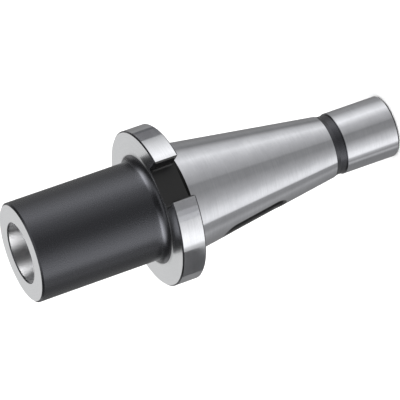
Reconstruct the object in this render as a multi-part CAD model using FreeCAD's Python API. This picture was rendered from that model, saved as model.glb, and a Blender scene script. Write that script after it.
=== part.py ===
"""Adapter from a size 40 steep taper (7:24) to a Morse taper 3 socket.

The adapter is turned, milled, hardened and ground from one piece of steel, so it is one
solid. It stands on the end of its pilot: the origin is the centre of that end face, +Z
runs up the axis towards the mouth of the Morse socket, the drive slots are on +Y and -Y,
and the drift slot goes through along X. All sizes are in millimetres and degrees.
"""

import FreeCAD, Part
import math
import os

# Steep taper shank
STEEP_GAUGE_DIA = 44.45      # diameter of the taper at its gauge plane
STEEP_RATIO = 7.0 / 24.0     # taper on the diameter
SHANK_LENGTH = 93.4          # end of the pilot to the gauge plane
TAPER_LENGTH = 65.4          # gauge plane to the groove
TAPER_RELIEF = 0.3           # black neck starts this far above the gauge plane
NECK_UNDERCUT = 0.25         # neck radius below the radius of the taper beside it

# Pilot and the groove between it and the taper
PILOT_DIA = 24.96
PILOT_LENGTH = 23.4
PILOT_CHAMFER = 0.7
GROOVE_DIA = 24.1
GROOVE_SLOPE = 1.9           # length of the run-out from the taper down to the groove
GROOVE_FILLET = 0.4          # rounding of the step from the groove up to the pilot

# Flange
FLANGE_DIA = 63.0
FLANGE_THICKNESS = 10.0
FLANGE_GAP = 1.6             # gauge plane to the back of the flange
FLANGE_CHAMFER = 0.5

# Head that carries the Morse socket
HEAD_DIA = 40.0
HEAD_REACH = 65.0            # gauge plane to the mouth face
HEAD_CHAMFER = 0.7
HEAD_FILLET = 3.5

# Morse taper 3 socket
SOCKET_GAUGE_DIA = 23.825    # diameter of the socket at the mouth face
SOCKET_TAPER = 1.0 / 19.922  # taper on the diameter
SOCKET_BORE_DIA = 20.2       # plain bore below the taper
SOCKET_DEPTH = 84.0          # mouth face to the end of the plain bore
SOCKET_CHAMFER = 0.45
DRILL_POINT_ANGLE = 118.0

# Drift slot, where a wedge knocks the tang out
DRIFT_WIDTH = 8.2
DRIFT_HEIGHT = 27.0
DRIFT_DEPTH = 79.0           # mouth face to the upper end of the slot
DRIFT_EDGE_RADIUS = 1.2

# Drive slots in the flange
DRIVE_WIDTH = 16.1
DRIVE_FLOOR = 22.5           # axis to the floor of a slot
DRIVE_FLOOR_FILLET = 1.0
DRIVE_CHAMFER = 0.75
DRIVE_SLOT_ANGLES = (90.0, 270.0)

# Draw-bar thread, bored to its core diameter
THREAD_CORE_DIA = 14.0
THREAD_DRILL_DEPTH = 42.5
CENTRE_DIA = 17.4            # mouth of the countersink that carries the centre
CENTRE_ANGLE = 60.0

# Heights above the end of the pilot
GROOVE_TOP = SHANK_LENGTH - TAPER_LENGTH
NECK_BOTTOM = SHANK_LENGTH + TAPER_RELIEF
FLANGE_BACK = SHANK_LENGTH + FLANGE_GAP
FLANGE_FRONT = FLANGE_BACK + FLANGE_THICKNESS
MOUTH = SHANK_LENGTH + HEAD_REACH
DRIFT_TOP = MOUTH - DRIFT_DEPTH
DRIFT_BOTTOM = DRIFT_TOP - DRIFT_HEIGHT

CLEAR = 1.0                  # how far a cutting shape runs past the surface it opens
AXIS = FreeCAD.Vector(0, 0, 1)
ORIGIN = FreeCAD.Vector(0, 0, 0)


def steep_radius(height):
    """Return the radius of the steep taper at a height above the end of the pilot."""
    return STEEP_GAUGE_DIA / 2 + (height - SHANK_LENGTH) * STEEP_RATIO / 2


def section_point(radius, height):
    """Return a point of the half section, which lies in the XZ plane."""
    return FreeCAD.Vector(radius, 0, height)


def quarter_arc(start, end, centre):
    """Return the short arc from start to end round centre."""
    radius = (start - centre).Length
    middle = (start + end) / 2 - centre
    middle.normalize()
    return Part.Arc(start, centre + middle * radius, end).toShape()


def chain(points):
    """Return the straight edges that join the points in order."""
    return [Part.makeLine(start, end) for start, end in zip(points, points[1:])]


def revolve(edges):
    """Turn a closed half section round the axis into a solid."""
    face = Part.Face(Part.Wire(edges))
    return face.revolve(ORIGIN, AXIS, 360)


def turned_blank():
    """Return the outside of the adapter as it comes off the lathe, with no bores or slots."""
    pilot = PILOT_DIA / 2
    groove = GROOVE_DIA / 2
    flange = FLANGE_DIA / 2
    head = HEAD_DIA / 2
    neck_low = steep_radius(NECK_BOTTOM)
    neck = steep_radius(FLANGE_BACK) - NECK_UNDERCUT

    step_start = section_point(pilot, PILOT_LENGTH - GROOVE_FILLET)
    step_centre = section_point(pilot - GROOVE_FILLET, PILOT_LENGTH - GROOVE_FILLET)
    step_end = section_point(pilot - GROOVE_FILLET, PILOT_LENGTH)
    fillet_start = section_point(head + HEAD_FILLET, FLANGE_FRONT)
    fillet_centre = section_point(head + HEAD_FILLET, FLANGE_FRONT + HEAD_FILLET)
    fillet_end = section_point(head, FLANGE_FRONT + HEAD_FILLET)

    lower = chain([
        section_point(0, 0),
        section_point(pilot - PILOT_CHAMFER, 0),
        section_point(pilot, PILOT_CHAMFER),
        step_start,
    ])
    step = quarter_arc(step_start, step_end, step_centre)
    middle = chain([
        step_end,
        section_point(groove, PILOT_LENGTH),
        section_point(groove, GROOVE_TOP - GROOVE_SLOPE),
        section_point(steep_radius(GROOVE_TOP), GROOVE_TOP),
        section_point(neck_low, NECK_BOTTOM),
        section_point(neck, NECK_BOTTOM),
        section_point(neck, FLANGE_BACK),
        section_point(flange - FLANGE_CHAMFER, FLANGE_BACK),
        section_point(flange, FLANGE_BACK + FLANGE_CHAMFER),
        section_point(flange, FLANGE_FRONT - FLANGE_CHAMFER),
        section_point(flange - FLANGE_CHAMFER, FLANGE_FRONT),
        fillet_start,
    ])
    fillet = quarter_arc(fillet_start, fillet_end, fillet_centre)
    upper = chain([
        fillet_end,
        section_point(head, MOUTH - HEAD_CHAMFER),
        section_point(head - HEAD_CHAMFER, MOUTH),
        section_point(0, MOUTH),
        section_point(0, 0),
    ])
    return revolve(lower + [step] + middle + [fillet] + upper)


def morse_socket():
    """Return the hollow of the Morse socket, from above the mouth to its drill point."""
    mouth = SOCKET_GAUGE_DIA / 2
    bore = SOCKET_BORE_DIA / 2
    taper_end = MOUTH - (SOCKET_GAUGE_DIA - SOCKET_BORE_DIA) / SOCKET_TAPER
    chamfered = mouth - SOCKET_CHAMFER * SOCKET_TAPER / 2
    floor = MOUTH - SOCKET_DEPTH
    point = floor - bore / math.tan(math.radians(DRILL_POINT_ANGLE / 2))
    return revolve(chain([
        section_point(0, point),
        section_point(bore, floor),
        section_point(bore, taper_end),
        section_point(chamfered, MOUTH - SOCKET_CHAMFER),
        section_point(mouth + SOCKET_CHAMFER, MOUTH),
        section_point(mouth + SOCKET_CHAMFER, MOUTH + CLEAR),
        section_point(0, MOUTH + CLEAR),
        section_point(0, point),
    ]))


def draw_bar_hole():
    """Return the hollow of the draw-bar thread with its countersunk centre."""
    core = THREAD_CORE_DIA / 2
    mouth = CENTRE_DIA / 2
    half_angle = math.radians(CENTRE_ANGLE / 2)
    centre_depth = (mouth - core) / math.tan(half_angle)
    point = THREAD_DRILL_DEPTH + core / math.tan(math.radians(DRILL_POINT_ANGLE / 2))
    return revolve(chain([
        section_point(0, -CLEAR),
        section_point(mouth, -CLEAR),
        section_point(mouth, 0),
        section_point(core, centre_depth),
        section_point(core, THREAD_DRILL_DEPTH),
        section_point(0, point),
        section_point(0, -CLEAR),
    ]))


def drift_slot():
    """Return the round-ended slot that goes through the shank along X."""
    half = DRIFT_WIDTH / 2
    reach = FLANGE_DIA / 2
    low = DRIFT_BOTTOM + half
    high = DRIFT_TOP - half
    bottom = Part.Arc(FreeCAD.Vector(-reach, -half, low),
                      FreeCAD.Vector(-reach, 0, DRIFT_BOTTOM),
                      FreeCAD.Vector(-reach, half, low)).toShape()
    top = Part.Arc(FreeCAD.Vector(-reach, half, high),
                   FreeCAD.Vector(-reach, 0, DRIFT_TOP),
                   FreeCAD.Vector(-reach, -half, high)).toShape()
    right = Part.makeLine(FreeCAD.Vector(-reach, half, low), FreeCAD.Vector(-reach, half, high))
    left = Part.makeLine(FreeCAD.Vector(-reach, -half, high), FreeCAD.Vector(-reach, -half, low))
    outline = Part.Wire([bottom, right, top, left])
    return Part.Face(outline).extrude(FreeCAD.Vector(2 * reach, 0, 0))


def drive_slot(angle):
    """Return the cutting shapes of one drive slot at an angle round Z: the slot and its chamfers."""
    half = DRIVE_WIDTH / 2
    flare = DRIVE_CHAMFER + CLEAR
    low = FLANGE_BACK - FLANGE_GAP / 2
    high = FLANGE_FRONT + HEAD_FILLET
    rim = math.sqrt((FLANGE_DIA / 2) ** 2 - half ** 2)

    box = Part.makeBox(FLANGE_DIA, DRIVE_WIDTH, high - low, FreeCAD.Vector(DRIVE_FLOOR, -half, low))
    corners = [edge for edge in box.Edges if is_floor_corner(edge)]
    slot = box.makeFillet(DRIVE_FLOOR_FILLET, corners)

    front = prism([
        FreeCAD.Vector(DRIVE_FLOOR, -half - flare, FLANGE_FRONT + CLEAR),
        FreeCAD.Vector(DRIVE_FLOOR, -half, FLANGE_FRONT - DRIVE_CHAMFER),
        FreeCAD.Vector(DRIVE_FLOOR, half, FLANGE_FRONT - DRIVE_CHAMFER),
        FreeCAD.Vector(DRIVE_FLOOR, half + flare, FLANGE_FRONT + CLEAR),
    ], FreeCAD.Vector(FLANGE_DIA, 0, 0))
    back = prism([
        FreeCAD.Vector(DRIVE_FLOOR, -half - flare, FLANGE_BACK - CLEAR),
        FreeCAD.Vector(DRIVE_FLOOR, half + flare, FLANGE_BACK - CLEAR),
        FreeCAD.Vector(DRIVE_FLOOR, half, FLANGE_BACK + DRIVE_CHAMFER),
        FreeCAD.Vector(DRIVE_FLOOR, -half, FLANGE_BACK + DRIVE_CHAMFER),
    ], FreeCAD.Vector(FLANGE_DIA, 0, 0))
    outer = prism([
        FreeCAD.Vector(rim - DRIVE_CHAMFER, -half, low),
        FreeCAD.Vector(rim - DRIVE_CHAMFER, half, low),
        FreeCAD.Vector(rim + CLEAR, half + flare, low),
        FreeCAD.Vector(rim + CLEAR, -half - flare, low),
    ], FreeCAD.Vector(0, 0, high - low))
    cutters = [slot, front, back, outer]
    for cutter in cutters:
        cutter.rotate(ORIGIN, AXIS, angle)
    return cutters


def prism(points, reach):
    """Return the solid made by pushing the polygon through the points along a vector."""
    return Part.Face(Part.makePolygon(points + points[:1])).extrude(reach)


def is_floor_corner(edge):
    """Tell whether an edge of the slot's box is where its floor meets a wall."""
    bounds = edge.BoundBox
    return bounds.XMax < DRIVE_FLOOR + CLEAR and bounds.ZLength > FLANGE_THICKNESS


def is_drift_mouth(edge):
    """Tell whether an edge bounds a mouth of the drift slot on the steep taper."""
    bounds = edge.BoundBox
    centre = bounds.Center
    beside_slot = bounds.YLength < DRIFT_WIDTH + CLEAR and abs(centre.y) < DRIFT_WIDTH
    at_height = DRIFT_BOTTOM - CLEAR < bounds.ZMin and bounds.ZMax < DRIFT_TOP + CLEAR
    on_taper = abs(math.hypot(centre.x, centre.y) - steep_radius(centre.z)) < CLEAR
    return beside_slot and at_height and on_taper and bounds.XLength < 2 * DRIFT_WIDTH


def adapter_body():
    """Return the finished adapter."""
    body = turned_blank().cut(morse_socket()).cut(draw_bar_hole())
    body = body.cut(drift_slot())
    mouths = [edge for edge in body.Edges if is_drift_mouth(edge)]
    body = body.makeFillet(DRIFT_EDGE_RADIUS, mouths)
    for angle in DRIVE_SLOT_ANGLES:
        body = body.cut(drive_slot(angle))
    return body


def main():
    """Build the adapter and write it."""
    os.makedirs("parts", exist_ok=True)
    body = adapter_body()
    solid = body.Solids[0]
    box = solid.BoundBox
    print("solids", len(body.Solids), "valid", body.isValid(), "volume", round(solid.Volume, 1))
    print("size", round(box.XLength, 3), round(box.YLength, 3), round(box.ZLength, 3))
    solid.exportStep("parts/adapter_body.step")


main()
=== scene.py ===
"""Studio scene of an adapter from a size 40 steep taper to a Morse taper 3 socket.

The adapter is one piece of hardened steel. It is spun here from its half section, slotted
by cutting bodies, and dressed with the finishes that its making leaves on it: ground
bright where it fits other parts, and blackened where it does not.

The axis is Z and the pilot's end face is at zero. Sizes in the classes are in millimetres
and angles in degrees, unless a docstring says otherwise.
"""

import logging
import math
from dataclasses import dataclass, field
from enum import Enum

import bmesh
import bpy
from mathutils import Matrix, Vector


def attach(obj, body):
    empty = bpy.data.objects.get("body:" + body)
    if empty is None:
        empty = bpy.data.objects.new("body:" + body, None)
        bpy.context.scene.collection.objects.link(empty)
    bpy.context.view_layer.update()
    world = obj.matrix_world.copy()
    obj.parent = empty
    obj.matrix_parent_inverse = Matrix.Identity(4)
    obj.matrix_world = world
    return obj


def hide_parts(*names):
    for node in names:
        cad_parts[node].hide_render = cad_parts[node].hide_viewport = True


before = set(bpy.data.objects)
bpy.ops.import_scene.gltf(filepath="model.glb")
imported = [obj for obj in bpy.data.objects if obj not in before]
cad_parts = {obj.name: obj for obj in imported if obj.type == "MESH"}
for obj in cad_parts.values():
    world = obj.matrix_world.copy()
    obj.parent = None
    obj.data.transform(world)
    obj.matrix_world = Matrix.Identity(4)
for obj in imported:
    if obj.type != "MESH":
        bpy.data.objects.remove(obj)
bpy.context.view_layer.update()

log = logging.getLogger("adapter")

MM = 0.001  # metres in a millimetre
AXIS_X = Vector((1.0, 0.0, 0.0))
AXIS_Z = Vector((0.0, 0.0, 1.0))
SPIN_STEPS = 240  # facets round the axis, 1.5 degrees each
ARC_STEP = math.radians(7.5)  # largest turn between the facets of a rounding
BEVEL_STEPS = 12  # facets of the rounding in a drive slot's corner
MERGE = 1e-7  # metres within which two vertices are one
SMOOTH_ANGLE = math.radians(9.0)  # the body's edges are smooth up to this angle
THREAD_SMOOTH_ANGLE = math.radians(20.0)  # and the thread's up to this one
ALONG = 0.9  # a face with more of its normal than this along a direction looks that way
ASIDE = 0.1  # a face with less of its normal than this along a direction runs beside it
SQUARE = 0.999  # a flat face cut square has more of its normal than this along its direction
MATT_ROUGHNESS = 0.9
PHOTO_PIXELS = 400  # width and height of the photograph's frame
ROOT = "root"
CAD_NODE = "adapter_body"


class Skin(Enum):
    """The finishes on the adapter, in the order of its material slots."""

    BLACKENED = 0
    GROUND_ROUND = 1
    GROUND_FACE = 2
    REAMED = 3
    MILLED = 4
    TAPPED = 5
    UNDERCUT = 6
    DRIFT = 7
    RIM = 8


class Lay(Enum):
    """The direction that a tool's marks run in."""

    ROUND = "round the axis, side by side along it"
    FACE = "round the axis, side by side along the radius"
    CROSS = "in both directions"


# Waves of the marks in one radian round the axis: long streaks, or short ones both ways.
SWEEP = {Lay.ROUND: 2.0, Lay.FACE: 2.0, Lay.CROSS: 40.0}
MARK_NOISE = {"Scale": 1.0, "Detail": 3.0, "Roughness": 0.6}
MOTTLE_NOISE = {"Detail": 4.0, "Roughness": 0.55}
EVEN_SHARES = 0.5  # marks and mottle wear the colour alike
ACROSS_MARKS = 0.25  # part of a full turn that lays the gloss's spread across the marks


def linear(hex_colour: str) -> tuple[float, float, float, float]:
    """Turn an sRGB hex colour into linear light.

    Args:
        hex_colour: Six hex digits, such as "C8C8C6".

    Returns:
        Linear red, green, blue and an alpha of one.
    """
    # The curve is the one of the sRGB standard.
    levels = []
    for start in (0, 2, 4):
        level = int(hex_colour[start:start + 2], 16) / 255
        levels.append(level / 12.92 if level <= 0.04045 else ((level + 0.055) / 1.055) ** 2.4)
    return (levels[0], levels[1], levels[2], 1.0)


def add_node(tree: bpy.types.NodeTree, kind: str, links: dict | None = None,
             values: dict | None = None, **settings: object) -> bpy.types.Node:
    """Add a node with its settings, socket values and incoming links.

    Args:
        tree: The node tree that gets the node.
        kind: Blender's name for the kind of node.
        links: Input name or number to the output socket that feeds it.
        values: Input name or number to its value.
        **settings: Attributes of the node itself.

    Returns:
        The new node.
    """
    node = tree.nodes.new(kind)
    for name, value in settings.items():
        setattr(node, name, value)
    for key, value in (values or {}).items():
        node.inputs[key].default_value = value
    for key, socket in (links or {}).items():
        tree.links.new(socket, node.inputs[key])
    return node


def start_object(name: str, mesh_object: bpy.types.Object) -> bpy.types.Object:
    """Name a new object and its mesh, and return it.

    Args:
        name: The name that both get.
        mesh_object: The object.

    Returns:
        The same object.
    """
    mesh_object.name = name
    mesh_object.data.name = name
    return mesh_object


def deselect() -> None:
    """Leave nothing selected, in object mode."""
    if bpy.context.object and bpy.context.object.mode != "OBJECT":
        bpy.ops.object.mode_set(mode="OBJECT")
    bpy.ops.object.select_all(action="DESELECT")


def select_only(piece: bpy.types.Object) -> None:
    """Select one object alone and make it the active one."""
    deselect()
    piece.select_set(True)
    bpy.context.view_layer.objects.active = piece


def settle(piece: bpy.types.Object) -> None:
    """Put an object's place and turn into its mesh."""
    select_only(piece)
    bpy.ops.object.transform_apply(location=True, rotation=True, scale=True)


def apply_modifier(piece: bpy.types.Object, kind: str, **settings: object) -> None:
    """Add a modifier to an object and apply it.

    Args:
        piece: The object.
        kind: Blender's name for the kind of modifier.
        **settings: Attributes of the modifier.
    """
    select_only(piece)
    modifier = piece.modifiers.new(kind.lower(), kind)
    for name, value in settings.items():
        setattr(modifier, name, value)
    bpy.ops.object.modifier_apply(modifier=modifier.name)


def arc(centre: tuple[float, float], radius: float, start: float, end: float) -> list[tuple[float, float]]:
    """Return points along an arc of a half section.

    Args:
        centre: Radius and height of the arc's centre, in millimetres.
        radius: Radius of the arc, in millimetres.
        start: Angle of the first point, in degrees from the outward direction.
        end: Angle of the last point, in degrees.

    Returns:
        Points from the start to the end, both included.
    """
    count = max(2, math.ceil(abs(math.radians(end - start)) / ARC_STEP))
    points = []
    for index in range(count + 1):
        angle = math.radians(start + (end - start) * index / count)
        points.append((centre[0] + radius * math.cos(angle), centre[1] + radius * math.sin(angle)))
    return points


def draw_outline(name: str, points: list[tuple[float, float]]) -> bpy.types.Object:
    """Draw a half section in the XZ plane, one extruded vertex after another.

    Args:
        name: Name of the new object.
        points: Radius and height of each point, in millimetres.

    Returns:
        An object in edit mode that holds the open line, all of it selected.
    """
    deselect()
    bpy.ops.mesh.primitive_plane_add(size=MM, location=(0.0, 0.0, 0.0))
    outline = start_object(name, bpy.context.object)
    bpy.ops.object.mode_set(mode="EDIT")
    bpy.ops.mesh.select_mode(type="VERT")
    bpy.ops.mesh.select_all(action="SELECT")
    bpy.ops.mesh.merge(type="CENTER")
    here = Vector((points[0][0] * MM, 0.0, points[0][1] * MM))
    bpy.ops.transform.translate(value=here)
    for radius, height in points[1:]:
        there = Vector((radius * MM, 0.0, height * MM))
        bpy.ops.mesh.extrude_region_move(TRANSFORM_OT_translate={"value": there - here})
        here = there
    bpy.ops.mesh.select_all(action="SELECT")
    return outline


@dataclass
class Shank:
    """The steep taper shank with its groove and its pilot, below the flange.

    Heights and lengths are in millimetres, from the end of the pilot.
    """

    gauge_dia: float = 44.45
    ratio: float = 7.0 / 24.0
    length: float = 93.4
    taper_length: float = 65.4
    relief: float = 0.3
    neck_undercut: float = 0.25
    pilot_dia: float = 24.96
    pilot_length: float = 23.4
    pilot_chamfer: float = 0.7
    groove_dia: float = 24.1
    groove_slope: float = 1.9
    groove_fillet: float = 0.4

    def radius(self, height: float) -> float:
        """Return the radius of the steep taper at a height."""
        return self.gauge_dia / 2 + (height - self.length) * self.ratio / 2

    @property
    def groove_top(self) -> float:
        """Height where the taper ends at the groove."""
        return self.length - self.taper_length

    @property
    def neck_bottom(self) -> float:
        """Height where the neck starts."""
        return self.length + self.relief

    def outline(self, flange_back: float) -> list[tuple[float, float]]:
        """Return the half section from the pilot's end face up to the flange.

        Args:
            flange_back: Height of the back of the flange.

        Returns:
            Radius and height of each point.
        """
        pilot = self.pilot_dia / 2
        groove = self.groove_dia / 2
        round_centre = (pilot - self.groove_fillet, self.pilot_length - self.groove_fillet)
        neck = self.radius(flange_back) - self.neck_undercut
        return [
            (pilot - self.pilot_chamfer, 0.0),
            (pilot, self.pilot_chamfer),
            *arc(round_centre, self.groove_fillet, 0.0, 90.0),
            (groove, self.pilot_length),
            (groove, self.groove_top - self.groove_slope),
            (self.radius(self.groove_top), self.groove_top),
            (self.radius(self.neck_bottom), self.neck_bottom),
            (neck, self.neck_bottom),
            (neck, flange_back),
        ]


@dataclass
class Flange:
    """The drive flange, with a slot on each side for the keys of the spindle nose.

    The slots' turns round the axis are in radians. A cutter stands clear of what it cuts,
    and its wedges start inset from the slot's own faces, so that no two faces coincide.
    """

    shank: Shank
    dia: float = 63.0
    thickness: float = 10.0
    gap: float = 1.6
    chamfer: float = 0.5
    slot_width: float = 16.1
    slot_floor: float = 22.5
    slot_fillet: float = 1.0
    slot_chamfer: float = 0.75
    slot_turns: tuple[float, ...] = (math.pi / 2, 3 * math.pi / 2)
    clear: float = 1.0
    inset: float = 0.05

    @property
    def back(self) -> float:
        """Height of the back of the flange."""
        return self.shank.length + self.gap

    @property
    def front(self) -> float:
        """Height of the front of the flange."""
        return self.back + self.thickness

    def outline(self) -> list[tuple[float, float]]:
        """Return the half section of the flange, from its back to its front face."""
        rim = self.dia / 2
        return [
            (rim - self.chamfer, self.back),
            (rim, self.back + self.chamfer),
            (rim, self.front - self.chamfer),
            (rim - self.chamfer, self.front),
        ]

    def cutting_block(self, name: str, low: Vector, high: Vector) -> bpy.types.Object:
        """Add a cube between two corners.

        Args:
            name: Name of the new object.
            low: Lowest corner, in millimetres.
            high: Highest corner, in millimetres.

        Returns:
            The block, with its place in its mesh.
        """
        deselect()
        bpy.ops.mesh.primitive_cube_add(size=1.0, location=(low + high) * MM / 2)
        block = start_object(name, bpy.context.object)
        block.scale = (high - low) * MM
        settle(block)
        return block

    def flare(self, block: bpy.types.Object, normal: Vector, growth: float) -> None:
        """Widen one side of a block across the slot.

        Args:
            block: The block.
            normal: Outward direction of the side.
            growth: How much wider the side gets on each hand, in millimetres.
        """
        for polygon in block.data.polygons:
            if polygon.normal.dot(normal) < ALONG:
                continue
            for index in polygon.vertices:
                corner = block.data.vertices[index].co
                corner.y += math.copysign(growth * MM, corner.y)

    def slot_cutters(self, turn: float) -> list[bpy.types.Object]:
        """Model the bodies that cut one drive slot and its chamfers.

        Args:
            turn: Direction of the slot round the axis, in radians.

        Returns:
            The slot itself and a wedge for each chamfer.
        """
        half = self.slot_width / 2
        narrow = half - self.inset
        start = self.slot_floor + self.inset
        growth = self.slot_chamfer + self.clear + self.inset
        low = self.back - self.gap / 2
        high = self.front + self.gap
        outside = self.dia
        rim = math.sqrt((self.dia / 2) ** 2 - half ** 2)

        slot = self.cutting_block("slot", Vector((self.slot_floor, -half, low)),
                                  Vector((outside, half, high)))
        bpy.ops.object.mode_set(mode="EDIT")
        bpy.ops.mesh.select_mode(type="EDGE")
        bpy.ops.mesh.select_all(action="DESELECT")
        mesh = bmesh.from_edit_mesh(slot.data)
        for edge in mesh.edges:
            inner = all(vertex.co.x < (self.slot_floor + self.clear) * MM for vertex in edge.verts)
            upright = abs((edge.verts[0].co - edge.verts[1].co).z) > self.thickness * MM
            edge.select_set(inner and upright)
        bmesh.update_edit_mesh(slot.data)
        bpy.ops.mesh.bevel(offset=self.slot_fillet * MM, segments=BEVEL_STEPS, affect="EDGES")
        bpy.ops.object.mode_set(mode="OBJECT")

        front = self.cutting_block("front_wedge",
                                   Vector((start, -narrow, self.front - self.slot_chamfer - self.inset)),
                                   Vector((outside, narrow, self.front + self.clear)))
        self.flare(front, AXIS_Z, growth)
        back = self.cutting_block("back_wedge", Vector((start, -narrow, self.back - self.clear)),
                                  Vector((outside, narrow, self.back + self.slot_chamfer + self.inset)))
        self.flare(back, -AXIS_Z, growth)
        outer = self.cutting_block("rim_wedge",
                                   Vector((rim - self.slot_chamfer - self.inset, -narrow,
                                           low - self.inset)),
                                   Vector((rim + self.clear, narrow, high + self.inset)))
        self.flare(outer, AXIS_X, growth)
        cutters = [slot, front, back, outer]
        for cutter in cutters:
            cutter.matrix_world = Matrix.Rotation(turn, 4, "Z")
            settle(cutter)
        return cutters


@dataclass
class Head:
    """The round head that carries the Morse socket, above the flange."""

    flange: Flange
    dia: float = 40.0
    reach: float = 65.0
    chamfer: float = 0.7
    fillet: float = 3.5
    socket_gauge_dia: float = 23.825
    socket_taper: float = 1.0 / 19.922
    socket_bore_dia: float = 20.2
    socket_depth: float = 84.0
    socket_chamfer: float = 0.45
    drill_point: float = 118.0

    @property
    def mouth(self) -> float:
        """Height of the mouth face."""
        return self.flange.shank.length + self.reach

    @property
    def socket_floor(self) -> float:
        """Height where the plain bore ends and the drill point starts."""
        return self.mouth - self.socket_depth

    def outline(self) -> list[tuple[float, float]]:
        """Return the half section from the flange, over the mouth and down to the drill point."""
        head = self.dia / 2
        bore = self.socket_bore_dia / 2
        mouth = self.socket_gauge_dia / 2
        taper_end = self.mouth - (self.socket_gauge_dia - self.socket_bore_dia) / self.socket_taper
        point = self.socket_floor - bore / math.tan(math.radians(self.drill_point / 2))
        fillet_centre = (head + self.fillet, self.flange.front + self.fillet)
        return [
            *arc(fillet_centre, self.fillet, 270.0, 180.0),
            (head, self.mouth - self.chamfer),
            (head - self.chamfer, self.mouth),
            (mouth + self.socket_chamfer, self.mouth),
            (mouth - self.socket_chamfer * self.socket_taper / 2, self.mouth - self.socket_chamfer),
            (bore, taper_end),
            (bore, self.socket_floor),
            (0.0, point),
        ]


@dataclass
class DrawBarHole:
    """The hole for the draw bar in the pilot's end, with its thread and its centre.

    The thread is a ridge on the wall. Its half width at the crest and at the root is a share
    of the pitch, and its seat is how far it sinks into the wall.
    """

    major_dia: float = 16.0
    core_dia: float = 14.0
    pitch: float = 2.0
    thread_depth: float = 34.0
    drill_depth: float = 42.5
    centre_dia: float = 17.4
    centre_angle: float = 60.0
    drill_point: float = 118.0
    crest_share: float = 1 / 8
    root_share: float = 7 / 16
    seat: float = 0.02
    steps: int = 72

    def centre_radius(self, height: float) -> float:
        """Return the radius of the countersunk centre at a height."""
        return self.centre_dia / 2 - height * math.tan(math.radians(self.centre_angle / 2))

    def outline(self) -> list[tuple[float, float]]:
        """Return the half section of the hole, from the drill point out to the end face."""
        core = self.core_dia / 2
        major = self.major_dia / 2
        half_angle = math.radians(self.centre_angle / 2)
        root_start = (self.centre_dia / 2 - major) / math.tan(half_angle)
        point = self.drill_depth + core / math.tan(math.radians(self.drill_point / 2))
        return [
            (0.0, point),
            (core, self.drill_depth),
            (core, self.thread_depth),
            (major, self.thread_depth),
            (major, root_start),
            (self.centre_dia / 2, 0.0),
        ]

    def build_thread(self) -> bpy.types.Object:
        """Model the ridge of the thread, which winds up the wall of the hole.

        Returns:
            The ridge, cut back by the cone of the centre at its lower end.
        """
        crest = self.core_dia / 2
        root = self.major_dia / 2 + self.seat
        base = self.pitch * self.root_share
        tip = self.pitch * self.crest_share
        first = self.pitch / 2
        ridge = draw_outline("draw_bar_thread", [
            (root, first - base),
            (crest, first - tip),
            (crest, first + tip),
            (root, first + base),
        ])
        bpy.ops.mesh.edge_face_add()
        bpy.ops.mesh.select_all(action="SELECT")
        bpy.ops.mesh.delete(type="ONLY_FACE")
        bpy.ops.object.mode_set(mode="OBJECT")
        turns = int((self.thread_depth - 2 * first) / self.pitch)
        apply_modifier(ridge, "SCREW", axis="Z", angle=math.tau, screw_offset=self.pitch * MM,
                       iterations=turns, steps=self.steps, render_steps=self.steps,
                       use_merge_vertices=True, merge_threshold=MERGE)
        for vertex in ridge.data.vertices:
            radius = math.hypot(vertex.co.x, vertex.co.y)
            least = min(self.centre_radius(vertex.co.z / MM), root) * MM
            if radius < least:
                vertex.co.x *= least / radius
                vertex.co.y *= least / radius
        select_only(ridge)
        bpy.ops.object.mode_set(mode="EDIT")
        bpy.ops.mesh.select_all(action="SELECT")
        # Both ends of the ridge have four corners.
        bpy.ops.mesh.fill_holes(sides=4)
        bpy.ops.mesh.normals_make_consistent(inside=False)
        bpy.ops.object.mode_set(mode="OBJECT")
        bpy.ops.object.shade_smooth_by_angle(angle=THREAD_SMOOTH_ANGLE)
        return ridge


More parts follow.
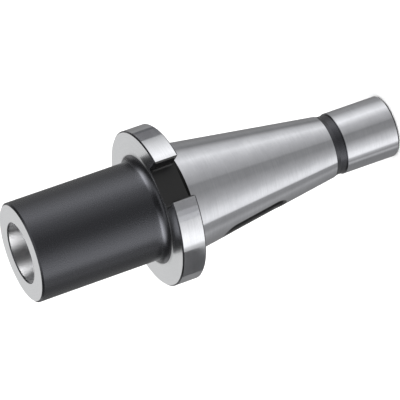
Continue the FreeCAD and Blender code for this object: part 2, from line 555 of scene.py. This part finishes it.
@dataclass
class DriftSlot:
    """The round-ended slot through the shank, where a wedge knocks a tool's tang out.

    Its depth is the distance from the mouth face to its upper end, and its reach is how far
    the cutter stands out from the axis.
    """

    shank: Shank
    head: Head
    width: float = 8.2
    height: float = 27.0
    depth: float = 79.0
    edge_radius: float = 1.2
    reach: float = 30.0
    arc_steps: int = 24

    @property
    def top(self) -> float:
        """Height of the slot's upper end."""
        return self.head.mouth - self.depth

    @property
    def bottom(self) -> float:
        """Height of the slot's lower end."""
        return self.top - self.height

    def ring(self, offset: float) -> list[tuple[float, float]]:
        """Return the slot's outline, grown by an offset.

        Args:
            offset: Distance outside the slot's wall, in millimetres.

        Returns:
            Place across the slot and height of each point.
        """
        radius = self.width / 2 + offset
        points = []
        for centre, start in ((self.top - self.width / 2, 0.0), (self.bottom + self.width / 2, math.pi)):
            for index in range(self.arc_steps + 1):
                angle = start + math.pi * index / self.arc_steps
                points.append((radius * math.cos(angle), centre + radius * math.sin(angle)))
        return points

    def cutter(self) -> bpy.types.Object:
        """Model the body that cuts the slot, with a flared mouth for its rounded edges.

        The mouth follows the cone of the shank, which no primitive gives, so the rings of
        the cutter are placed by the cone's own formula and bridged.

        Returns:
            The closed cutter.
        """
        mesh = bmesh.new()
        flare = [index * ARC_STEP for index in range(round(math.pi / 2 / ARC_STEP) + 1)]
        rings = []
        for side in (-1, 1):
            mouth = []
            for angle in flare:
                offset = self.edge_radius * (1 - math.cos(angle))
                sunk = self.edge_radius * (1 - math.sin(angle))
                ring = []
                for across, height in self.ring(offset):
                    reach = math.sqrt((self.shank.radius(height) - sunk) ** 2 - across ** 2)
                    ring.append(mesh.verts.new(Vector((side * reach, across, height)) * MM))
                mouth.append(ring)
            end = [mesh.verts.new(Vector((side * self.reach, across, height)) * MM)
                   for across, height in self.ring(self.edge_radius)]
            mouth.append(end)
            rings = list(reversed(mouth)) if side < 0 else rings + mouth
        for near, far in zip(rings, rings[1:]):
            for index, vertex in enumerate(near):
                after = (index + 1) % len(near)
                mesh.faces.new((vertex, near[after], far[after], far[index]))
        mesh.faces.new(rings[0])
        mesh.faces.new(rings[-1])
        bmesh.ops.recalc_face_normals(mesh, faces=mesh.faces)
        data = bpy.data.meshes.new("drift_cutter")
        mesh.to_mesh(data)
        mesh.free()
        cutter = bpy.data.objects.new("drift_cutter", data)
        bpy.context.collection.objects.link(cutter)
        return cutter


@dataclass(frozen=True)
class Finish:
    """A finish of one surface of the adapter, as a material.

    Colours are sRGB hex values, and the roughness varies by the spread both ways. The
    distance between tool marks is mark_mm, and mark_height is how deep they stand. Marks too
    fine for the picture are drawn coarser than they are.
    """

    name: str
    colour: str
    worn_colour: str
    metallic: float
    roughness: float
    spread: float
    mark_mm: float
    mark_height: float
    lay: Lay
    ior: float = 1.5
    anisotropy: float = 0.0
    mottle_mm: float = 6.0
    tint: str = "FFFFFF"

    def build(self) -> bpy.types.Material:
        """Make the material.

        Returns:
            A node material that reads Object coordinates only.
        """
        material = bpy.data.materials.new(self.name)
        material.use_nodes = True
        tree = material.node_tree
        tree.nodes.clear()
        place = add_node(tree, "ShaderNodeTexCoord")
        parts = add_node(tree, "ShaderNodeSeparateXYZ", links={0: place.outputs["Object"]})
        turn = add_node(tree, "ShaderNodeMath", operation="ARCTAN2",
                        links={0: parts.outputs["Y"], 1: parts.outputs["X"]})
        flat = add_node(tree, "ShaderNodeCombineXYZ",
                        links={"X": parts.outputs["X"], "Y": parts.outputs["Y"]})
        radius = add_node(tree, "ShaderNodeVectorMath", operation="LENGTH", links={0: flat.outputs[0]})

        side = radius.outputs["Value"] if self.lay is Lay.FACE else parts.outputs["Z"]
        across = add_node(tree, "ShaderNodeMath", operation="MULTIPLY", links={0: side},
                          values={1: 1.0 / (self.mark_mm * MM)})
        sweep = add_node(tree, "ShaderNodeMath", operation="MULTIPLY",
                         links={0: turn.outputs[0]}, values={1: SWEEP[self.lay]})
        grid = add_node(tree, "ShaderNodeCombineXYZ",
                        links={"X": across.outputs[0], "Y": sweep.outputs[0]})
        marks = add_node(tree, "ShaderNodeTexNoise", links={"Vector": grid.outputs[0]},
                         values=MARK_NOISE)
        mottle = add_node(tree, "ShaderNodeTexNoise", links={"Vector": place.outputs["Object"]},
                          values={"Scale": 1.0 / (self.mottle_mm * MM), **MOTTLE_NOISE})
        wear = add_node(tree, "ShaderNodeMix", data_type="FLOAT", values={0: EVEN_SHARES},
                        links={2: marks.outputs["Fac"], 3: mottle.outputs["Fac"]})
        colour = add_node(tree, "ShaderNodeMix", data_type="RGBA", links={"Factor": wear.outputs[0]})
        colour.inputs[6].default_value = linear(self.colour)
        colour.inputs[7].default_value = linear(self.worn_colour)
        rough = add_node(tree, "ShaderNodeMapRange", links={"Value": marks.outputs["Fac"]},
                         values={"To Min": self.roughness - self.spread,
                                 "To Max": self.roughness + self.spread})
        bump = add_node(tree, "ShaderNodeBump", links={"Height": marks.outputs["Fac"]},
                        values={"Strength": 1.0, "Distance": self.mark_height * MM})
        shader = add_node(tree, "ShaderNodeBsdfPrincipled",
                          links={"Base Color": colour.outputs[2], "Roughness": rough.outputs[0],
                                 "Normal": bump.outputs[0]},
                          values={"Metallic": self.metallic, "IOR": self.ior,
                                  "Specular Tint": linear(self.tint),
                                  "Anisotropic": self.anisotropy,
                                  "Anisotropic Rotation": ACROSS_MARKS})
        if self.anisotropy:
            tangent = add_node(tree, "ShaderNodeTangent", direction_type="RADIAL", axis="Z")
            tree.links.new(tangent.outputs[0], shader.inputs["Tangent"])
        add_node(tree, "ShaderNodeOutputMaterial", links={"Surface": shader.outputs[0]})
        return material


def finishes() -> dict[Skin, Finish]:
    """Return the finish that stands for each skin of the adapter."""
    return {
        # Hot blackening over turned steel: a thin magnetite layer, dark, satin and a little
        # oily. Its grain is finer than this, and is drawn as coarse as it needs to show.
        Skin.BLACKENED: Finish(
            "black_oxide_on_turned_steel", "060607", "0A0A0B", metallic=0.0, roughness=0.275,
            spread=0.035, mark_mm=0.5, mark_height=0.0042, lay=Lay.CROSS, ior=1.77, tint="F2F4FF"),
        # Cylindrical grinding: bright, with marks round the axis that blur light along it. The
        # real marks are far finer, and are drawn as coarse as they need to show.
        Skin.GROUND_ROUND: Finish(
            "hardened_steel_ground_between_centres", "D9DADE", "B1B2B6", metallic=1.0, roughness=0.11,
            spread=0.03, mark_mm=0.35, mark_height=0.0006, lay=Lay.ROUND, anisotropy=0.4),
        # The flange's rim: ground as the shank is, in a lighter copy of its colour, a little brighter,
        # which paints brighter highlights into the rim's reflections.
        Skin.RIM: Finish(
            "hardened_steel_ground_rim_painted_brighter", "E8E9EC", "BFC0C4", metallic=1.0, roughness=0.11,
            spread=0.03, mark_mm=0.35, mark_height=0.0006, lay=Lay.ROUND, anisotropy=0.4),
        # Face grinding: the same steel with circular marks, drawn as coarse, a little duller.
        Skin.GROUND_FACE: Finish(
            "hardened_steel_face_ground", "CACBCC", "C3C4C6", metallic=1.0, roughness=0.24,
            spread=0.04, mark_mm=0.3, mark_height=0.0006, lay=Lay.FACE),
        # Reamed and internally ground bore, its marks drawn coarser than they are too. Its colour is
        # lighter than ground steel's, a painted brightness that stands in for more light reaching into the
        # bore.
        Skin.REAMED: Finish(
            "hardened_steel_ground_bore_painted_brighter", "EAEAEB", "DCDCDE", metallic=1.0, roughness=0.5,
            spread=0.03, mark_mm=0.2, mark_height=0.0005, lay=Lay.ROUND, anisotropy=1.0),
        # Milled slots, blackened and never ground: dark, with the cutter's marks.
        Skin.MILLED: Finish(
            "black_oxide_on_milled_steel", "0A0A0B", "101011", metallic=0.0, roughness=0.32,
            spread=0.05, mark_mm=0.5, mark_height=0.0012, lay=Lay.CROSS),
        # Tapped thread, blackened and oily in its roots.
        Skin.TAPPED: Finish(
            "black_oxide_on_tapped_steel", "121213", "1C1C1D", metallic=0.0, roughness=0.33,
            spread=0.05, mark_mm=0.3, mark_height=0.0008, lay=Lay.ROUND, ior=1.85),
        # Drift slot, milled through and only thinly blackened, so its walls are a dull dark grey.
        Skin.DRIFT: Finish(
            "thin_black_oxide_on_milled_steel", "262627", "303031", metallic=0.0, roughness=0.4,
            spread=0.05, mark_mm=0.5, mark_height=0.0012, lay=Lay.CROSS),
        # Turned undercut behind the flange: blackened, and made near black with a weak gloss as painted
        # shade, for the shadow that the flange's rim casts into it.
        Skin.UNDERCUT: Finish(
            "black_oxide_with_painted_shade_in_undercut", "020202", "050505", metallic=0.0, roughness=0.45,
            spread=0.05, mark_mm=0.3, mark_height=0.0008, lay=Lay.ROUND, ior=1.25),
    }


@dataclass
class Adapter:
    """The whole adapter: one turned body with its slots, and the thread in its end.

    A face whose centre is within the tolerance of a surface lies on it, and vertices within
    the weld distance after a cut become one. The fillet is ground where more of its normal
    than the run-out points up the axis.
    """

    shank: Shank
    flange: Flange
    head: Head
    hole: DrawBarHole
    drift: DriftSlot
    tolerance: float = 0.08
    weld: float = 0.002
    run_out: float = 0.92
    skins: dict[Skin, bpy.types.Material] = field(default_factory=dict)

    def outline(self) -> list[tuple[float, float]]:
        """Return the whole half section, from the lower drill point to the upper one."""
        return (self.hole.outline() + self.shank.outline(self.flange.back)
                + self.flange.outline() + self.head.outline())

    def build_body(self) -> bpy.types.Object:
        """Spin the half section, and cut the slots out of it.

        Returns:
            The body, smooth where its surfaces run on and sharp at its edges.
        """
        body = draw_outline("adapter_steel_body", self.outline())
        bpy.ops.mesh.spin(steps=SPIN_STEPS, angle=math.tau, center=(0.0, 0.0, 0.0), axis=AXIS_Z,
                          use_auto_merge=True)
        bpy.ops.mesh.select_all(action="SELECT")
        bpy.ops.mesh.remove_doubles(threshold=MERGE)
        bpy.ops.mesh.normals_make_consistent(inside=False)
        bpy.ops.object.mode_set(mode="OBJECT")
        cutters = [self.drift.cutter()]
        for turn in self.flange.slot_turns:
            cutters += self.flange.slot_cutters(turn)
        for cutter in cutters:
            apply_modifier(body, "BOOLEAN", operation="DIFFERENCE", solver="EXACT", object=cutter)
            apply_modifier(body, "WELD", merge_threshold=self.weld * MM)
            bpy.data.objects.remove(cutter, do_unlink=True)
        select_only(body)
        bpy.ops.object.shade_smooth_by_angle(angle=SMOOTH_ANGLE)
        return body

    def skin_at(self, centre: Vector, normal: Vector) -> Skin:
        """Tell which finish a face has from its place.

        Args:
            centre: Middle of the face, in metres.
            normal: Its outward direction.

        Returns:
            The finish.
        """
        height = centre.z / MM
        radius = math.hypot(centre.x, centre.y) / MM
        near = self.tolerance
        facing = abs(normal.z)
        inward = normal.x * centre.x + normal.y * centre.y < 0
        in_bore = radius < self.head.socket_gauge_dia / 2 + near and height > self.head.socket_floor - near
        in_fillet = self.flange.front < height < self.flange.front + self.head.fillet
        on_wall = abs(math.hypot(normal.x, normal.y) * radius
                      - abs(normal.x * centre.x + normal.y * centre.y) / MM) > near
        if abs(height - self.head.mouth) < near or abs(height - self.flange.front) < near:
            return Skin.GROUND_FACE if facing > ALONG else Skin.BLACKENED
        if abs(height - self.flange.back) < near and facing > ALONG:
            return Skin.GROUND_FACE
        # The wheel that grinds the flange's face runs out in the fillet's shallow end.
        if in_fillet and self.run_out < normal.z < SQUARE:
            return Skin.GROUND_FACE
        # The bore's wall gets the finish lightened as painted light.
        if in_bore and inward and not on_wall:
            return Skin.REAMED
        if self.is_drift(centre):
            return Skin.DRIFT
        if on_wall or self.is_drive_floor(centre, normal):
            return Skin.MILLED
        # The rim gets the lighter copy of the ground finish, a painted highlight.
        if abs(radius - self.flange.dia / 2) < near and facing < ASIDE:
            return Skin.RIM
        on_taper = self.shank.groove_top < height < self.shank.neck_bottom
        if on_taper and abs(radius - self.shank.radius(height)) < near:
            return Skin.GROUND_ROUND
        on_pilot = self.shank.pilot_chamfer < height < self.shank.pilot_length - self.shank.groove_fillet
        if on_pilot and abs(radius - self.shank.pilot_dia / 2) < near:
            return Skin.GROUND_ROUND
        if inward and height < self.hole.drill_depth and radius < self.hole.major_dia / 2 + near:
            return Skin.TAPPED
        # The neck behind the flange gets the blackening darkened as painted shade.
        if self.shank.neck_bottom - near < height < self.flange.back and radius < self.flange.slot_floor:
            return Skin.UNDERCUT
        return Skin.BLACKENED

    def is_drift(self, centre: Vector) -> bool:
        """Tell whether a face's centre is on a wall or a rounded mouth of the drift slot."""
        across = abs(centre.y) / MM
        height = centre.z / MM
        radius = math.hypot(centre.x, centre.y) / MM
        grown = self.drift.edge_radius
        half = self.drift.width / 2
        low = self.drift.bottom + half
        high = self.drift.top - half
        beyond = max(low - height, height - high, 0.0)
        inside = math.hypot(across, beyond) < half + grown
        below_cone = radius < self.shank.radius(height) - self.weld
        return inside and below_cone

    def is_drive_floor(self, centre: Vector, normal: Vector) -> bool:
        """Tell whether a face's centre is on the floor of a drive slot."""
        level = abs(abs(centre.y) / MM - self.flange.slot_floor) < self.tolerance
        within = self.flange.back - self.tolerance < centre.z / MM < self.flange.front + self.head.fillet
        square = abs(normal.y) > SQUARE
        return level and within and square and abs(centre.x) / MM < self.flange.slot_width / 2

    def dress(self, piece: bpy.types.Object) -> None:
        """Give each face of the body the material of its finish.

        Args:
            piece: The body.
        """
        piece.data.materials.clear()
        for skin in Skin:
            piece.data.materials.append(self.skins[skin])
        for polygon in piece.data.polygons:
            polygon.material_index = self.skin_at(polygon.center, polygon.normal).value

    def build(self) -> list[bpy.types.Object]:
        """Build and dress the body and the thread, and set them on the frame.

        Returns:
            The finished pieces.
        """
        self.skins = {skin: finish.build() for skin, finish in finishes().items()}
        body = self.build_body()
        self.dress(body)
        thread = self.hole.build_thread()
        thread.data.materials.clear()
        thread.data.materials.append(self.skins[Skin.TAPPED])
        for piece in (body, thread):
            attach(piece, ROOT)
            log.info("%s: %d faces", piece.name, len(piece.data.polygons))
        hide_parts(CAD_NODE)
        return [body, thread]


def matt(name: str, colour: str) -> bpy.types.Material:
    """Make a plain matt material for the studio.

    Args:
        name: Its name.
        colour: Its colour, as six hex digits.

    Returns:
        The material.
    """
    material = bpy.data.materials.new(name)
    material.use_nodes = True
    shader = material.node_tree.nodes["Principled BSDF"]
    shader.inputs["Base Color"].default_value = linear(colour)
    shader.inputs["Roughness"].default_value = MATT_ROUGHNESS
    return material


@dataclass(frozen=True)
class Flag:
    """A small grey card that dims one stretch of the flange's rim.

    Its turn is the direction that the rim mirrors it in, in degrees from the camera's side.
    Its width, and its reach from the rim, are in millimetres.
    """

    turn: float
    width: float
    reach: float
    colour: str


@dataclass(frozen=True)
class Ring:
    """A ring of the light tent, with brighter and dimmer panels.

    Each panel has its angle from the camera's side round the axis, in degrees, and its level.
    The ring takes over from the one below it at its bottom, over a soft seam.
    """

    bottom: float
    fade: float
    panels: tuple[tuple[float, float], ...]

    def colour(self, tree: bpy.types.NodeTree, share: bpy.types.NodeSocket,
               brightest: float) -> bpy.types.NodeSocket:
        """Add the ring's colours to the world's tree.

        Args:
            tree: The world's node tree.
            share: Share of the way round, from behind the adapter and back to there.
            brightest: The level that white stands for.

        Returns:
            The socket that gives the colour.
        """
        ramp = add_node(tree, "ShaderNodeValToRGB", links={"Fac": share})
        stops = ramp.color_ramp.elements
        for index, (angle, level) in enumerate(self.panels):
            where = (angle + 180.0) / 360.0
            stop = stops[index] if index < 2 else stops.new(where)
            stop.position = where
            shade = level / brightest
            stop.color = (shade, shade, shade, 1.0)
        return ramp.outputs["Color"]


@dataclass
class Studio:
    """The plain floor, the soft light and the camera.

    The steel mirrors what stands round it, so the light tent has bright and dim stretches.
    Angles of rings and cards are round the axis from the camera's side, and levels are
    linear. The floor, the softbox and the camera's clipping distances are in metres.
    """

    camera_azimuth: float = -103.7
    camera_elevation: float = 19.12
    camera_roll: float = -109.36
    camera_distance: float = 1271.8
    aim_right: float = 10.27
    aim_up: float = -0.12
    focal_pixels: float = 3288.5
    floor_colour: str = "F4F4F4"
    nearest: float = 0.01
    furthest: float = 50.0
    floor_size: float = 6.0
    softbox_height: float = 1.6
    softbox_size: float = 2.4
    softbox_energy: float = 30.0
    ambient: float = 1.0
    rings: tuple[Ring, ...] = (
        # The taper mirrors this ring.
        Ring(-90.0, 0.0, (
            (-180.0, 0.25), (-150.0, 0.29), (-130.0, 0.36), (-118.0, 0.42), (-106.0, 0.54), (-94.0, 0.39),
            (-80.0, 0.42), (-76.5, 1.28), (-66.0, 1.33), (-55.0, 1.17), (-43.0, 0.86), (-30.0, 0.64),
            (-17.0, 0.50), (-5.0, 0.39), (15.5, 0.37), (19.0, 0.49), (34.0, 0.62), (49.0, 0.78),
            (62.0, 0.97), (76.0, 1.25), (87.0, 1.02), (102.0, 0.75), (118.0, 0.31), (134.0, 0.37),
            (150.0, 0.31), (180.0, 0.25),
        )),
        # The pilot, the head and the flange's rim mirror this one.
        Ring(-25.0, 2.5, (
            (-180.0, 0.24), (-150.0, 0.29), (-130.0, 0.32), (-107.0, 0.32), (-99.0, 0.62), (-94.0, 0.66),
            (-88.0, 0.40), (-81.0, 0.62), (-76.0, 0.80), (-72.0, 1.46), (-64.0, 1.52), (-54.0, 1.38),
            (-46.0, 1.13), (-22.0, 0.60), (-11.0, 0.40), (14.0, 0.36), (18.5, 0.48), (44.0, 0.78),
            (56.0, 1.10), (68.0, 1.45), (80.0, 1.18), (96.0, 0.82), (112.0, 0.48), (128.0, 0.42),
            (150.0, 0.30), (180.0, 0.24),
        )),
        # The lower half of the two main lights, which the fillet mirrors.
        Ring(-4.0, 4.0, (
            (-180.0, 0.30), (-150.0, 0.20), (-100.0, 0.08), (-90.0, 0.10), (-82.0, 1.60),
            (-74.0, 5.00), (-60.0, 6.40), (-40.0, 5.20), (-24.0, 1.60), (-12.0, 0.30), (0.0, 0.12),
            (16.0, 0.12), (32.0, 0.60), (44.0, 1.60), (56.0, 5.80), (76.0, 6.40), (88.0, 3.40),
            (98.0, 0.30), (112.0, 0.10), (150.0, 0.20), (180.0, 0.30),
        )),
        # The upper half of them, and behind the adapter the panel that its ground faces mirror.
        Ring(9.0, 4.0, (
            (-180.0, 1.08), (-168.0, 1.08), (-148.0, 0.95), (-138.0, 0.10), (-100.0, 0.08),
            (-92.0, 0.60), (-82.0, 4.80), (-60.0, 6.20), (-40.0, 4.80), (-24.0, 1.20), (-12.0, 0.30),
            (0.0, 0.12), (16.0, 0.12), (32.0, 0.60), (44.0, 1.60), (56.0, 5.00), (76.0, 5.80),
            (88.0, 3.40), (98.0, 0.30), (112.0, 0.10), (138.0, 0.10), (148.0, 0.95), (168.0, 1.08),
            (180.0, 1.08),
        )),
        # The bore mirrors this ring.
        Ring(32.0, 27.0, (
            (-180.0, 0.60), (-160.0, 0.12), (-100.0, 0.06), (-88.0, 0.30), (-76.0, 0.90),
            (-40.0, 0.80), (-28.0, 0.06), (28.0, 0.06), (45.0, 0.80), (82.0, 0.90), (94.0, 0.30),
            (105.0, 0.06), (160.0, 0.12), (180.0, 0.60),
        )),
        # The top, which the ground faces mirror when they are seen from above.
        Ring(70.0, 6.0, ((-180.0, 0.85), (180.0, 0.85))),
    )
    flags: tuple[Flag, ...] = (
        Flag(-107.6, 94.0, 80.0, "585859"),
        Flag(-30.0, 13.5, 80.6, "C5C5C7"),
        Flag(-22.0, 13.5, 80.3, "AAAAAC"),
        Flag(-12.0, 20.0, 80.0, "8C8C8D"),
        Flag(120.0, 47.0, 81.0, "78787A"),
        Flag(128.0, 25.0, 80.0, "656567"),
    )
    flag_height: float = 13.5

    def build_floor(self) -> bpy.types.Object:
        """Lay the pale floor that the adapter stands on.

        Returns:
            The floor.
        """
        deselect()
        bpy.ops.mesh.primitive_plane_add(size=self.floor_size, location=(0.0, 0.0, 0.0))
        floor = start_object("studio_floor", bpy.context.object)
        floor.data.materials.append(matt("matt_white_paper", self.floor_colour))
        # The steel mirrors the tent all the way round, as a part held up inside one does.
        floor.visible_glossy = False
        return floor

    def build_tent(self) -> None:
        """Light the scene with a soft white tent that has dim and bright stretches in its gloss."""
        world = bpy.data.worlds.new("light_tent")
        bpy.context.scene.world = world
        world.use_nodes = True
        tree = world.node_tree
        tree.nodes.clear()
        place = add_node(tree, "ShaderNodeTexCoord")
        turned = add_node(tree, "ShaderNodeMapping", vector_type="POINT",
                          links={"Vector": place.outputs["Generated"]},
                          values={"Rotation": (0.0, 0.0, -math.radians(self.camera_azimuth))})
        parts = add_node(tree, "ShaderNodeSeparateXYZ", links={0: turned.outputs[0]})
        turn = add_node(tree, "ShaderNodeMath", operation="ARCTAN2",
                        links={0: parts.outputs["Y"], 1: parts.outputs["X"]})
        share = add_node(tree, "ShaderNodeMapRange", links={"Value": turn.outputs[0]},
                         values={"From Min": -math.pi, "From Max": math.pi})
        brightest = max(level for ring in self.rings for _, level in ring.panels)
        shade = None
        for ring in self.rings:
            colour = ring.colour(tree, share.outputs[0], brightest)
            if shade is None:
                shade = colour
                continue
            seam = add_node(tree, "ShaderNodeMapRange", interpolation_type="SMOOTHSTEP",
                            links={"Value": parts.outputs["Z"]},
                            values={"From Min": math.sin(math.radians(ring.bottom - ring.fade)),
                                    "From Max": math.sin(math.radians(ring.bottom + ring.fade))})
            blend = add_node(tree, "ShaderNodeMix", data_type="RGBA", links={"Factor": seam.outputs[0]})
            tree.links.new(shade, blend.inputs[6])
            tree.links.new(colour, blend.inputs[7])
            shade = blend.outputs[2]
        bands = add_node(tree, "ShaderNodeBackground", links={"Color": shade},
                         values={"Strength": brightest})
        soft = add_node(tree, "ShaderNodeBackground", values={"Color": (1.0, 1.0, 1.0, 1.0),
                                                              "Strength": self.ambient})
        rays = add_node(tree, "ShaderNodeLightPath")
        both = add_node(tree, "ShaderNodeMixShader",
                        links={0: rays.outputs["Is Glossy Ray"], 1: soft.outputs[0], 2: bands.outputs[0]})
        add_node(tree, "ShaderNodeOutputWorld", links={"Surface": both.outputs[0]})

    def build_flags(self, flange: Flange) -> list[bpy.types.Object]:
        """Stand small grey cards round the adapter, where only the flange's rim mirrors them.

        Args:
            flange: The flange, whose rim the cards dim.

        Returns:
            The cards, which neither the camera nor the floor sees.
        """
        middle = (flange.back + flange.front) / 2
        cards = []
        for flag in self.flags:
            normal = math.radians(self.camera_azimuth + flag.turn / 2)
            sight = math.radians(self.camera_azimuth + flag.turn)
            rim = flange.dia / 2
            drop = flag.reach * math.tan(math.radians(self.camera_elevation))
            place = Vector((rim * math.cos(normal) + flag.reach * math.cos(sight),
                            rim * math.sin(normal) + flag.reach * math.sin(sight), middle - drop))
            deselect()
            bpy.ops.mesh.primitive_plane_add(size=1.0, location=place * MM,
                                             rotation=(math.pi / 2, 0.0, sight - math.pi / 2))
            card = start_object("rim_flag", bpy.context.object)
            card.scale = (flag.width * MM, self.flag_height * MM, 1.0)
            settle(card)
            card.data.materials.append(matt("grey_felt_flag", flag.colour))
            card.visible_camera = False
            card.visible_diffuse = False
            card.visible_shadow = False
            cards.append(card)
        return cards

    def build_softbox(self) -> bpy.types.Object:
        """Hang a large soft light above the floor, which whitens it.

        Returns:
            The light.
        """
        deselect()
        bpy.ops.object.light_add(type="AREA", location=(0.0, 0.0, self.softbox_height))
        softbox = bpy.context.object
        softbox.name = "overhead_softbox"
        softbox.data.size = self.softbox_size
        softbox.data.energy = self.softbox_energy
        softbox.visible_camera = False
        softbox.visible_glossy = False
        return softbox

    def place_camera(self, gauge_height: float) -> bpy.types.Object:
        """Set the camera up as the photograph was taken.

        Args:
            gauge_height: Height of the shank's gauge plane, which the camera is aimed by, in
                millimetres.

        Returns:
            The camera.
        """
        azimuth = math.radians(self.camera_azimuth)
        elevation = math.radians(self.camera_elevation)
        toward = Vector((math.cos(azimuth) * math.cos(elevation), math.sin(azimuth) * math.cos(elevation),
                         math.sin(elevation)))
        level_right = AXIS_Z.cross(toward).normalized()
        level_up = toward.cross(level_right)
        level = Matrix((level_right, level_up, toward)).transposed()
        turned = level @ Matrix.Rotation(math.radians(self.camera_roll), 3, "Z")
        aim = Vector((0.0, 0.0, gauge_height))
        aim = aim + turned.col[0] * self.aim_right + turned.col[1] * self.aim_up
        bpy.ops.object.camera_add()
        camera = bpy.context.object
        camera.name = "photo_camera"
        place = Matrix.Translation((aim + toward * self.camera_distance) * MM)
        camera.matrix_world = place @ turned.to_4x4()
        camera.data.lens = self.focal_pixels / PHOTO_PIXELS * camera.data.sensor_width
        camera.data.clip_start = self.nearest
        camera.data.clip_end = self.furthest
        bpy.context.scene.camera = camera
        return camera

    def build(self, flange: Flange) -> None:
        """Build the floor, the light and the camera.

        Args:
            flange: The flange, by which the small cards and the camera are set.
        """
        bpy.context.scene.view_settings.view_transform = "Standard"
        log.info("%s laid", self.build_floor().name)
        self.build_tent()
        log.info("%s hung", self.build_softbox().name)
        for card in self.build_flags(flange):
            log.info("%s stood up", card.name)
        log.info("%s placed", self.place_camera(flange.shank.length).name)


def main() -> None:
    """Build the adapter and its studio."""
    logging.basicConfig(level=logging.INFO, format="%(name)s: %(message)s")
    shank = Shank()
    flange = Flange(shank)
    head = Head(flange)
    adapter = Adapter(shank, flange, head, DrawBarHole(), DriftSlot(shank, head))
    for piece in adapter.build():
        log.info("%s finished", piece.name)
    Studio().build(flange)


if __name__ == "__main__":
    main()
